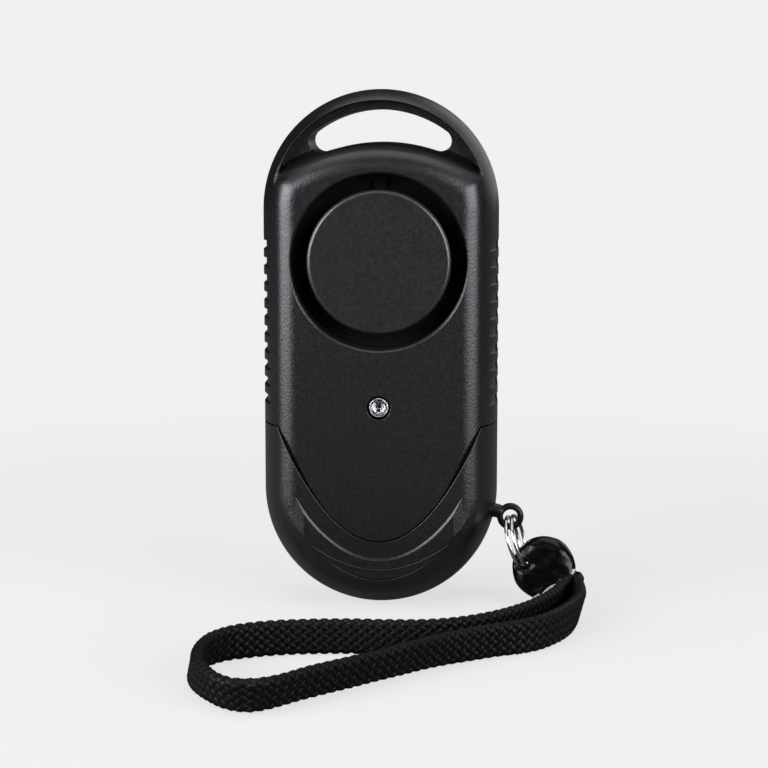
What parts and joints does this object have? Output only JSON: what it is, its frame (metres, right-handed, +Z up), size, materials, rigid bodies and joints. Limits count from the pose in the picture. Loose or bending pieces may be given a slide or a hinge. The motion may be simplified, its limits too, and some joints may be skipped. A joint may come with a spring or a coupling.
{
  "type": "personal_alarm",
  "caption": "Pill-shaped handheld safety alarm in charcoal plastic with a carrying slot, round siren, lamp, ribbed sides, and a pull pin on a split ring and braided wrist strap",
  "frame": {"origin": "middle of the small flat at the bottom that the case stands on", "axes": "+X to the right seen from the front, on the pin's side; +Y from the front to the back; +Z up along the case"},
  "size_m": [0.0644, 0.0862, 0.092],
  "materials": {
    "case_plastic": "fine grained",
    "black_plastic": "matte",
    "gloss_black": "glossy",
    "cream_plastic": "matte",
    "black_felt": "matte",
    "black_braid": "braided",
    "soft_rubber": "matte",
    "wire_cover": "satin",
    "clear_lens": "clear",
    "ring_steel": "polished",
    "screw_steel": "satin",
    "brass_sheet": "satin",
    "white_ceramic": "matte",
    "board": "satin",
    "ferrite": "matte",
    "can_metal": "satin",
    "cell_can": "satin"
  },
  "bodies": {
    "case": {"front_shell": "case_plastic", "lower_cover": "case_plastic", "rear_shell": "case_plastic", "case_screws": "screw_steel", "siren_disc": "case_plastic", "siren_spider": "black_plastic", "siren_cup": "black_plastic", "sound_felt": "black_felt", "siren_gasket": "soft_rubber", "piezo_plate": "brass_sheet", "piezo_ceramic": "white_ceramic", "siren_leads": "wire_cover", "led": "clear_lens", "led_board": "board", "led_leads": "wire_cover", "main_board": "board", "driver_chip": "black_plastic", "boost_coil": "ferrite", "capacitor": "can_metal", "chip_resistors": "white_ceramic", "battery": "cell_can", "battery_tray": "black_plastic", "battery_spring": "screw_steel", "battery_contact": "screw_steel", "switch_base": "cream_plastic", "switch_leaf_front": "brass_sheet", "switch_leaf_rear": "brass_sheet", "switch_leads": "wire_cover"},
    "door": {"battery_door": "case_plastic", "door_screw": "screw_steel"},
    "pin": {"pull_pin": "gloss_black"},
    "ring": {"split_ring": "ring_steel"},
    "strap": {"strap_sleeve": "gloss_black", "wrist_strap": "black_braid"}
  },
  "joints": [
    {"name": "pin_pull", "type": "slide", "parent": "case", "child": "pin", "axis": [1, 0, 0], "range_m": [0, 0.013]},
    {"name": "ring_swing", "type": "hinge", "parent": "pin", "child": "ring", "pos_m": [0.02386, -0.003, 0.014], "axis": [-0.9359, 0.223, -0.2728], "range_deg": [0, 40]},
    {"name": "strap_swing", "type": "hinge", "parent": "ring", "child": "strap", "pos_m": [0.0262, -0.00432, 0.00707], "axis": [0.2495, 0.9661, -0.066], "range_deg": [0, 20]},
    {"name": "door_lift", "type": "slide", "parent": "case", "child": "door", "axis": [0, 1, 0], "range_m": [0, 0.012]}
  ]
}
